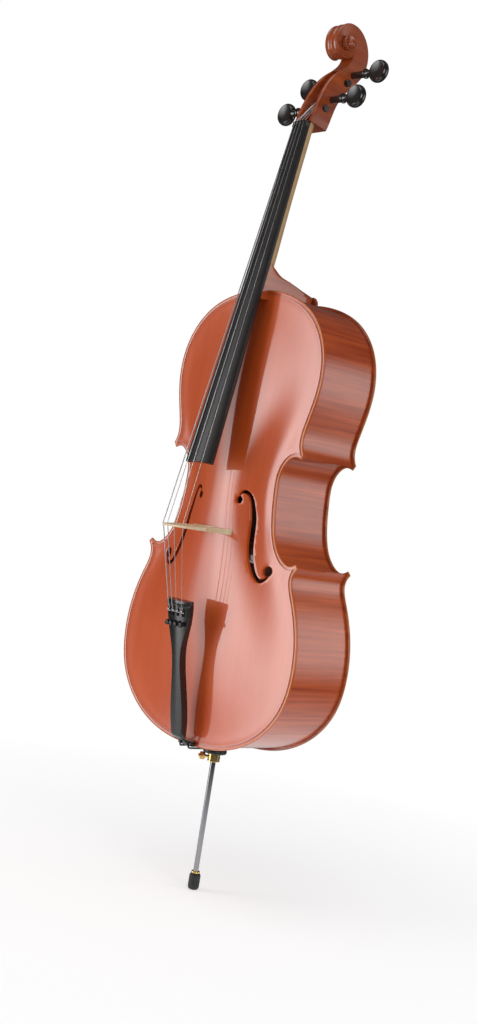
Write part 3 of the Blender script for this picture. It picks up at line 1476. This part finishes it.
# ---------------------------------------------------------------- bridge
@dataclass
class Bridge:
    """The maple bridge, cut through with its heart and kidneys, thinner towards the top."""

    station: float = 355.0
    height: float = 87.0
    width: float = 92.0
    crown_radius: float = 62.0
    spacing: float = 16.2
    thick_foot: float = 11.0
    thick_top: float = 3.4
    below_crown: float = 12.0
    arch_radius: float = 27.0

    def crown(self, x: float) -> float:
        """Distance of the top edge forward of the ribs' middle."""
        sag = self.crown_radius - math.sqrt(self.crown_radius**2 - x * x)
        return DATUM.half_depth + TOP_CROWN + self.height - sag

    def outline(self) -> np.ndarray:
        """Front view of the blank without its holes; the feet stand on the arching."""
        half = self.width / 2
        base = DATUM.half_depth + TOP_CROWN - self.below_crown
        end = 1.5 * self.spacing + 6
        side = smooth_curve([
            (half - 1, base + 9), (half - 1.5, base + 12.5), (half - 9, base + 18), (half - 15, base + 29),
            (half - 15.5, base + 42), (half - 7.5, base + 53), (half - 5, base + 60), (half - 10, base + 67),
            (end + 2, base + 78), (end, self.crown(end))], 60)
        top = [(x, self.crown(x)) for x in np.linspace(end, -end, 31)[1:-1]]
        foot_inner = half - self.arch_radius
        arch = [
            (foot_inner * math.cos(a), base + self.below_crown + self.arch_radius * math.sin(a))
            for a in np.linspace(0, math.pi, 40)]
        foot = [(half, self._stand(half)), (half - 0.4, base + 8)]
        sole = [(x, self._stand(x)) for x in np.linspace(half - 26, half, 12)[:-1]]
        right_foot = [(foot_inner, self._stand(half - 26) + 3)] + sole
        left_foot = [(-x, f) for x, f in reversed(right_foot)]
        edge = foot + [tuple(p) for p in side]
        run = right_foot + edge + top + [(-x, f) for x, f in reversed(edge)]
        return np.array(run + left_foot + [(-x, f) for x, f in reversed(arch)])

    def _stand(self, x: float) -> float:
        """Distance of the belly under a foot, forward of the ribs' middle."""
        return DATUM.half_depth + OUTLINE.arch(x, self.station, TOP_CROWN) + 0.02

    def holes(self) -> list[np.ndarray]:
        """Heart and kidneys."""
        base = DATUM.half_depth + TOP_CROWN - self.below_crown
        turns = np.linspace(0, math.tau, 40, endpoint=False)
        heart = np.column_stack([
            8.5 * np.sin(turns) ** 3,
            base + 57 + 7.0 * np.cos(turns) - 2.6 * np.cos(2 * turns) - 1.0 * np.cos(3 * turns)])
        kidney = np.column_stack([
            25.5 + 9.5 * np.cos(turns) + 1.2 * np.cos(2 * turns), base + 47.5 + 4.6 * np.sin(turns)
            - 2.2 * np.cos(turns)])
        return [heart, kidney, kidney * (-1, 1)]

    def build(self) -> None:
        """Cut the bridge out and install it."""
        border = anticlockwise(spaced(self.outline(), 1.5))
        holes = [spaced(hole, 1.2) for hole in self.holes()]
        points, edges = [], []
        for loop in [border] + holes:
            start = len(points)
            points.extend(Vector(p) for p in loop)
            edges.extend((start + i, start + (i + 1) % len(loop)) for i in range(len(loop)))
        low, high = border.min(axis=0), border.max(axis=0)
        grid = np.array([(x, f) for x in np.arange(low[0], high[0], 2.4) for f in np.arange(low[1], high[1], 2.4)])
        grid = grid[inside(grid, border) & (distance_to(grid, border) > 1.2)]
        for hole in holes:
            grid = grid[~inside(grid, hole) & (distance_to(grid, hole) > 1.2)]
        points.extend(Vector(p) for p in grid)
        places, _, faces, origins, *_ = delaunay_2d_cdt(points, edges, [], 0, 1e-4)
        flat = np.array([tuple(p) for p in places])
        number = {source: k for k, sources in enumerate(origins) for source in sources}
        middles = np.array([flat[list(face)].mean(axis=0) for face in faces])
        keep = inside(middles, border)
        for hole in holes:
            keep &= ~inside(middles, hole)
        shape = Shape("bridge_cut")
        gaps = distance_to(flat, border)
        for hole in holes:
            gaps = np.minimum(gaps, distance_to(flat, hole))
        sides = []
        for front in (False, True):
            row = []
            for (x, forward), gap in zip(flat, gaps):
                up = (forward - DATUM.half_depth - 12) / (self.height + 12)
                soft = 0.35 * max(0.0, 1 - gap / 0.8)
                thick = lerp(self.thick_foot, self.thick_top, min(max(up, 0.0), 1.0) ** 0.85)
                lean = -self.thick_foot / 2 + soft if not front else -self.thick_foot / 2 + thick - soft
                row.append(DATUM.place(x, -forward, self.station + lean))
            sides.append(shape.add(row))
        for face, use in zip(faces, keep):
            if use:
                shape.faces.append(tuple(sides[0][i] for i in face))
                shape.faces.append(tuple(sides[1][i] for i in reversed(face)))
        start = 0
        for loop in [border] + holes:
            ring = [number[start + i] for i in range(len(loop))]
            shape.skin([[sides[0][i] for i in ring], [sides[1][i] for i in ring]])
            start += len(loop)
        wood = BareWood("bare_maple_bridge", (0.93, 0.76, 0.50), (0.76, 0.56, 0.32), 0.45)
        install(shape.finish(40), wood.material(), "cello", ["bridge"])


# ---------------------------------------------------------------- tailpiece
@dataclass
class Tailpiece:
    """The tailpiece with its four fine tuners."""

    top: Point = (61.0, 236.0)
    foot: Point = (16.0, 12.0)
    width_top: float = 58.0
    width_waist: float = 21.6
    width_foot: float = 20.0
    edge: float = 8.0
    crown: float = 6.5
    spacing: float = 11.0
    deck: float = 6.0
    pivot_inset: float = 19.0
    screw_inset: float = 37.0

    def __post_init__(self) -> None:
        """Work out the tailpiece's line."""
        forward, up = self.top[0] - self.foot[0], self.top[1] - self.foot[1]
        self.length = math.hypot(forward, up)
        self.sine, self.cosine = forward / self.length, up / self.length

    def point(self, x: float, run: float, rise: float) -> Vector:
        """A place on the tailpiece: sideways, along it and above its underside."""
        back = -DATUM.half_depth - self.foot[0] - run * self.sine - rise * self.cosine
        return DATUM.place(x, back, self.foot[1] + run * self.cosine - rise * self.sine)

    def face(self, x: float) -> float:
        """Height of its face above its underside."""
        return self.edge + self.crown * (1 - (2 * x / self.width_top) ** 2)

    def half(self, run: float) -> float:
        """Half its width."""
        if not hasattr(self, "_side"):
            stops = [
                (0, self.width_foot / 2), (self.length * 0.45, self.width_waist / 2),
                (self.length * 0.68, self.width_waist / 2 + 1.9), (self.length - 45, self.width_top / 2 - 7.5),
                (self.length, self.width_top / 2)]
            self._side = smooth_curve(stops, 120)
        return float(np.interp(run, self._side[:, 0], self._side[:, 1]))

    def _section(self, run: float) -> list[Vector]:
        """Closed section of the shell at one place along it."""
        half = self.half(run)
        low_end = eased(run / 7.0)
        high_end = eased((self.length - run) / 1.2)
        ridge = 2.6 * math.exp(-(((run - self.length + 6.0) / 1.3) ** 2))
        pocket = self.deck * eased((run - self.length + 44) / 4) * eased((self.length - 7.5 - run) / 1.5)
        points = []
        for k in range(15):
            x = half * math.sin(math.pi / 2 * k / 14)
            fall = 2.2 * max(0.0, k / 14 - 0.86) / 0.14
            points.append((x, self.face(x) * lerp(0.72, 1, low_end) + ridge - fall * 0.6 - 0.6 * (1 - high_end)))
        points += [(half, 4.0), (half, 1.2), (half - 0.8, 0.3), (half - 2.4, 0.0)]
        points += [(half - 2.6, pocket), (half * 0.5, pocket), (0.0, pocket)]
        return [self.point(x, run, rise) for x, rise in points + [(-x, rise) for x, rise in points[-2:0:-1]]]

    def _shell(self) -> bpy.types.Object:
        """The tailpiece's body."""
        runs = [0.0, 0.4, 1.2, 2.5, 4, 6] + [self.length * i / 60 for i in range(2, 59)]
        runs += [self.length - d for d in (9, 8, 7.4, 7, 6.6, 6.2, 5.8, 5.4, 5, 4.4, 3.4, 2, 1, 0.5, 0)]
        shape = Shape("tailpiece_shell")
        shape.sweep([self._section(run) for run in sorted(set(runs))])
        return shape.finish(38)

    def _slots(self, shell: bpy.types.Object) -> None:
        """Cut the openings that the tuners' hooks stand in."""
        cutter = Shape("slot_cutter")
        for index in range(4):
            x = (index - 1.5) * self.spacing
            run = self.length - self.pivot_inset + 1
            corners = [(-2.9, -6.5), (2.9, -6.5), (2.9, 6.5), (-2.9, 6.5)]
            cutter.sweep([[self.point(x + dx, run + dy, rise) for dx, dy in corners] for rise in (-9.0, 24.0)])
        tool = cutter.finish(30)
        cut = shell.modifiers.new("slots", "BOOLEAN")
        cut.operation, cut.object, cut.solver = "DIFFERENCE", tool, "EXACT"
        graph = bpy.context.evaluated_depsgraph_get()
        mesh = bpy.data.meshes.new_from_object(shell.evaluated_get(graph))
        shell.modifiers.clear()
        shell.data = mesh
        mesh.polygons.foreach_set("use_smooth", [True] * len(mesh.polygons))
        mesh.set_sharp_from_angle(angle=math.radians(38))
        bpy.data.objects.remove(tool)

    def _lever(self, name: str, x: float) -> bpy.types.Object:
        """The forked lever that holds a string's end and is tipped by the screw."""
        run = self.length - self.pivot_inset
        top = self.face(1.5 * self.spacing) + 3.0
        shape = Shape(f"tuner_lever_{name}_bent")
        arm = [(-22.0, -3.0), (-15.0, -3.0), (-9.0, -1.2), (-4.0, 2.2), (-0.8, 4.6), (0.6, 8.0), (0.8, top - 2)]
        line = smooth_curve(arm, 30)
        sections = []
        for i, (along, rise) in enumerate(line):
            ahead = line[min(i + 1, len(line) - 1)] - line[max(i - 1, 0)]
            ahead = ahead / np.linalg.norm(ahead)
            side = np.array([-ahead[1], ahead[0]])
            wide = lerp(2.1, 2.4, i / len(line))
            corners = [(-wide, -0.9), (-wide + 0.5, -1.3), (wide - 0.5, -1.3), (wide, -0.9),
                       (wide, 0.9), (wide - 0.5, 1.3), (-wide + 0.5, 1.3), (-wide, 0.9)]
            sections.append([
                self.point(x + dx, run + along + side[0] * dy, rise + side[1] * dy) for dx, dy in corners])
        shape.sweep(sections)
        for sign in (-1, 1):
            prong = smooth_curve([(0.8, top - 2.6), (1.6, top), (3.4, top + 1.2), (5.2, top + 0.6)], 12)
            ring_rows = []
            for along, rise in prong:
                ring = [(math.cos(a), math.sin(a)) for a in np.linspace(0, math.tau, 10, endpoint=False)]
                ring_rows.append([
                    self.point(x + sign * 1.55 + 0.75 * c, run + along - 0.9 + 0.4 * s, rise + 0.8 * s)
                    for c, s in ring])
            shape.sweep(ring_rows)
        return shape.finish(40)

    def build(self) -> None:
        """Build the shell and the tuners."""
        black = Ebony("tailpiece_black", 0.26, (0.011, 0.011, 0.012), (0.022, 0.022, 0.023), 0.5).material()
        silver = Metal("tuner_silver", (0.78, 0.78, 0.8), 0.16).material()
        dark = Moulded("tuner_black", (0.012, 0.012, 0.013), 0.25).material()
        knurl = KnurlTree(dark)
        shell = self._shell()
        self._slots(shell)
        install(shell, black, "cello", ["tailpiece"])
        normal = self.point(0, 0, 1) - self.point(0, 0, 0)
        turn = normal.to_track_quat("Z", "Y").to_matrix().to_4x4()
        for index, name in enumerate("cgda"):
            x = (index - 1.5) * self.spacing
            lever = self._lever(name, x)
            install(lever, silver, f"lever_{name}_body", [f"tuner_lever_{name}"])
            base = self.face(x)
            screw = Shape(f"tuner_screw_{name}_turned")
            profile = [(0.01, -0.9), (1.1, -0.9), (1.5, -0.4), (1.5, base + 2.5), (1.9, base + 2.6),
                       (3.6, base + 2.7), (3.9, base + 3.3), (3.9, base + 7.4), (3.5, base + 8.2),
                       (1.8, base + 8.5), (0.01, base + 8.4)]
            spot = self.point(x, self.length - self.screw_inset, 0)
            screw.lathe(profile, spot, normal, 28)
            body = f"tuner_{name}_body"
            install(screw.finish(32), dark, body, [f"tuner_screw_{name}"])
            sizes = {"Radius": 0.0039, "Ridge": 0.0004, "Height": 0.0038, "Count": 22}
            ridges = knurl.make(f"tuner_screw_{name}_grip", bpy.data.meshes.new(name), sizes)
            middle = self.point(x, self.length - self.screw_inset, base + 5.4) / METRE
            ridges.data.transform(Matrix.Translation(middle) @ turn)
            install(ridges, dark, body, [f"tuner_screw_{name}"])
        for node, material in (("tuner_pivot", silver),):
            redress(node, material)


# ---------------------------------------------------------------- endpin
@dataclass
class Endpin:
    """Plug, collar, thumbscrew, rod and foot below the body."""

    neck: float = 6.0
    flange: float = 8.0
    collar: float = 14.0
    angle: float = -135.0

    def build(self) -> None:
        """Turn each piece and install it on its body."""
        black = Moulded("plug_black", (0.012, 0.012, 0.012), 0.3).material()
        brass = Metal("gilt_brass", (0.85, 0.62, 0.24), 0.16).material()
        steel = Metal("rod_steel", (0.36, 0.36, 0.38), 0.06, 300.0).material()
        rubber = Moulded("black_rubber", (0.014, 0.014, 0.014), 0.55, 1200.0, 0.0003).material()
        spot = DATUM.place(0, 0, 0)
        low = -self.neck - self.flange
        pieces = [
            ("endpin_plug", "ebony", "cello", black, [
                (4.6, 46.4), (13.5, 46.5), (15.0, 45.0), (15.0, -self.neck), (17.2, -self.neck),
                (19.2, -self.neck - 0.6), (20.0, -self.neck - 2.2), (20.0, low + 2.4), (19.2, low + 0.8),
                (17.4, low), (4.6, low)]),
            ("endpin_collar", "brass", "cello", brass, [
                (4.6, low), (9.4, low), (10.4, low - 0.9), (10.4, low - 3.0), (9.9, low - 3.6), (9.9, low - 4.4),
                (10.4, low - 5.0), (10.4, low - 9.6), (9.9, low - 10.2), (9.9, low - 11.0), (10.4, low - 11.6),
                (10.4, low - 12.9), (9.3, low - self.collar), (4.6, low - self.collar)]),
            ("endpin_rod", "endpin_steel", "endpin", steel, self.from_floor([
                (0.01, 499), (3.6, 499), (4.5, 498), (4.5, 10), (3.7, 9), (0.01, 9)])),
            ("rubber_tip", "rubber", "endpin_foot_body", rubber, self.from_floor([
                (4.56, 27.0), (6.4, 27.0), (8.0, 26.4), (9.2, 24.6), (9.5, 22.0), (9.5, 17.5), (9.2, 17.0),
                (9.2, 16.2), (9.5, 15.7), (9.5, 6.0), (9.0, 3.2), (7.6, 1.1), (5.4, 0.0), (0.01, 0.0),
                (0.01, 8.9), (4.56, 8.9)])),
            ("tip_ring", "brass", "endpin_foot_body", brass, self.from_floor([
                (4.56, 31.0), (6.5, 31.0), (7.2, 30.3), (7.5, 29.0), (7.2, 27.7), (6.5, 27.0), (4.56, 27.0)])),
        ]
        for node, slot, body, material, profile in pieces:
            shape = Shape(f"{node}_turned")
            closed = profile[0][0] > 1
            rows = []
            for radius, height in profile:
                ring = [math.tau * i / 56 for i in range(56)]
                rows.append(shape.add(
                    spot + Vector((radius * math.cos(a), radius * math.sin(a), height)) for a in ring))
            shape.skin(rows + [rows[0]] if closed else rows)
            if not closed:
                shape.faces += [tuple(rows[0]), tuple(reversed(rows[-1]))]
            install(shape.finish(32), material, body, [node])
        self._thumbscrew(brass, low)

    @staticmethod
    def from_floor(profile: Sequence[Point]) -> list[Point]:
        """A profile with heights above the floor, as heights above the body's bottom."""
        return [(radius, height - DATUM.bottom) for radius, height in profile]

    def _thumbscrew(self, brass: bpy.types.Material, low: float) -> None:
        """The screw that holds the rod, with a knurled knob."""
        way = Vector((math.cos(math.radians(self.angle)), math.sin(math.radians(self.angle)), 0))
        middle = DATUM.place(0, 0, low - self.collar / 2)
        stud = Shape("thumbscrew_stud_turned")
        stud.lathe([(0.01, 4.9), (2.1, 4.9), (2.5, 5.4), (2.5, 26.2), (2.0, 26.9), (0.01, 26.9)], middle, way, 24)
        install(stud.finish(32), brass, "thumbscrew", ["thumbscrew_stud"])
        knob = Shape("thumbscrew_knob_turned")
        profile = [(2.56, 15.0), (5.0, 15.0), (5.9, 15.6), (6.1, 16.4), (6.1, 22.6), (5.9, 23.4), (5.0, 24.0),
                   (2.56, 24.0)]
        turn = way.to_track_quat("Z", "Y")
        rows = []
        for radius, height in profile:
            ring = [math.tau * i / 40 for i in range(40)]
            rows.append(knob.add(
                middle + turn @ Vector((radius * math.cos(a), radius * math.sin(a), height)) for a in ring))
        knob.skin(rows + [rows[0]])
        install(knob.finish(32), brass, "thumbscrew_grip", ["thumbscrew_knob"])
        sizes = {"Radius": 0.0061, "Ridge": 0.00045, "Height": 0.0064, "Count": 30}
        ridges = KnurlTree(brass).make("thumbscrew_knob_ridges", bpy.data.meshes.new("knob"), sizes)
        ridges.data.transform(Matrix.Translation((middle + way * 19.5) / METRE) @ turn.to_matrix().to_4x4())
        install(ridges, brass, "thumbscrew_grip", ["thumbscrew_knob"])


# ---------------------------------------------------------------- studio
@dataclass(frozen=True)
class Softbox:
    """A large even light on a stand."""

    name: str
    place: Colour
    aim: Colour
    width: float
    height: float
    radiance: float
    soft: float = 0.4

    def _fade(self, tree: bpy.types.NodeTree) -> None:
        """Let the light fall off smoothly towards its edges."""
        tree.nodes.clear()
        glow = tree.nodes.new("ShaderNodeEmission")
        tree.links.new(glow.outputs[0], tree.nodes.new("ShaderNodeOutputLight").inputs[0])
        parts = tree.nodes.new("ShaderNodeSeparateXYZ")
        tree.links.new(tree.nodes.new("ShaderNodeNewGeometry").outputs["Parametric"], parts.inputs[0])
        strength = None
        for axis in "XY":
            for low, high in ((0.0, self.soft), (1.0, 1.0 - self.soft)):
                ramp = tree.nodes.new("ShaderNodeMapRange")
                ramp.interpolation_type = "SMOOTHSTEP"
                ramp.inputs["From Min"].default_value = low
                ramp.inputs["From Max"].default_value = high
                tree.links.new(parts.outputs[axis], ramp.inputs["Value"])
                if strength is None:
                    strength = ramp.outputs[0]
                    continue
                times = tree.nodes.new("ShaderNodeMath")
                times.operation = "MULTIPLY"
                tree.links.new(strength, times.inputs[0])
                tree.links.new(ramp.outputs[0], times.inputs[1])
                strength = times.outputs[0]
        tree.links.new(strength, glow.inputs["Color"])

    def build(self) -> None:
        """Hang the light."""
        light = bpy.data.lights.new(self.name, "AREA")
        light.shape = "RECTANGLE"
        light.size, light.size_y = self.width, self.height
        light.energy = self.radiance * math.pi * self.width * self.height
        light.use_nodes = True
        self._fade(light.node_tree)
        lamp = bpy.data.objects.new(self.name, light)
        bpy.context.scene.collection.objects.link(lamp)
        lamp.location = self.place
        lamp.rotation_euler = (Vector(self.aim) - Vector(self.place)).to_track_quat("-Z", "Y").to_euler()


@dataclass
class Studio:
    """Pale floor, white background, softboxes and the camera."""

    softboxes: tuple[Softbox, ...] = (
        Softbox("front_left", (-1.75, -2.6, 0.6), (0.0, -0.1, 0.7), 2.5, 4.4, 4.4),
        Softbox("behind_right", (2.3, 2.2, 1.0), (0.1, 0.0, 0.6), 2.2, 3.4, 1.9),
        Softbox("overhead", (0.3, -0.9, 3.3), (0.0, 0.0, 0.5), 2.8, 2.8, 1.6),
        Softbox("fill", (3.0, -0.8, 1.2), (0.0, 0.0, 0.7), 1.8, 2.8, 3.4),
    )
    place: Colour = (1.65257, -1.53141, 0.62127)
    right: Colour = (0.6631, 0.7317, 0.1579)
    down: Colour = (0.1019, 0.1207, -0.9874)
    forward: Colour = (-0.7415, 0.6709, 0.0055)

    def build(self) -> None:
        """Set up floor, world, lights and camera."""
        for softbox in self.softboxes:
            softbox.build()
        self._floor()
        self._world()
        self._camera()
        bpy.context.scene.view_settings.view_transform = "Standard"

    def _floor(self) -> None:
        """A round pale floor that fades out towards its rim."""
        graph = Graph(
            "pale_floor", Roughness=0.8, Base_Color=(0.8, 0.8, 0.8), Emission_Color=(0.5, 0.5, 0.5),
            Emission_Strength=1.0, Specular_IOR_Level=0.0)
        here = graph.place((1.0, 1.0, 0.0))
        reach = graph.node("ShaderNodeVectorMath", {"operation": "LENGTH"}, {0: here}, "Value")
        graph.surface(Alpha=((1.2 - reach) * 1.1).held())
        floor = Shape("floor")
        ring = [Vector((3000 * math.cos(a), 3000 * math.sin(a), 0)) for a in np.linspace(0, math.tau, 65)[:-1]]
        floor.faces.append(tuple(floor.add(ring)))
        slab = floor.finish()
        slab.data.materials.append(graph.material)

    @staticmethod
    def _world() -> None:
        """White to the eye, and a softer grey as light."""
        world = bpy.data.worlds.new("studio")
        bpy.context.scene.world = world
        world.use_nodes = True
        tree = world.node_tree
        tree.nodes.clear()
        path = tree.nodes.new("ShaderNodeLightPath")
        result = tree.nodes.new("ShaderNodeBackground")
        result.inputs[0].default_value = (0.28, 0.28, 0.29, 1)
        for ray, level in (("Is Glossy Ray", 0.05), ("Is Camera Ray", 1.0)):
            back = tree.nodes.new("ShaderNodeBackground")
            back.inputs[0].default_value = (level, level, level, 1)
            mixed = tree.nodes.new("ShaderNodeMixShader")
            tree.links.new(path.outputs[ray], mixed.inputs[0])
            tree.links.new(result.outputs[0], mixed.inputs[1])
            tree.links.new(back.outputs[0], mixed.inputs[2])
            result = mixed
        tree.links.new(result.outputs[0], tree.nodes.new("ShaderNodeOutputWorld").inputs[0])

    def _camera(self) -> None:
        """A camera to the cello's right front, rolled a little."""
        data = bpy.data.cameras.new("camera")
        data.lens = 47.46
        data.sensor_width = 36.0
        data.sensor_fit = "AUTO"
        data.shift_x, data.shift_y = 0.0016, -0.001
        camera = bpy.data.objects.new("camera", data)
        bpy.context.scene.collection.objects.link(camera)
        axes = Matrix((self.right, tuple(-c for c in self.down), tuple(-c for c in self.forward))).transposed()
        camera.matrix_world = Matrix.Translation(self.place) @ axes.to_4x4()
        bpy.context.scene.camera = camera


def dress_nodes() -> None:
    """Give the nodes that are kept as they are their finishes."""
    ebony = Ebony("ebony_small", 0.28, coat=0.3).material()
    nylon = Moulded("black_cord", (0.012, 0.012, 0.012), 0.5).material()
    for name, material in (("nut", ebony), ("saddle", ebony), ("tail_cord", nylon)):
        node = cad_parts[name]
        node.data.materials.clear()
        node.data.materials.append(material)


def main() -> None:
    """Build the cello from the body outwards, and the studio round it."""
    logging.basicConfig(level=logging.INFO, format="%(message)s")
    Body().build()
    Neck().build()
    Pegs().build()
    Bridge().build()
    Tailpiece().build()
    Endpin().build()
    dress_nodes()
    Studio().build()


if __name__ == "__main__":
    main()
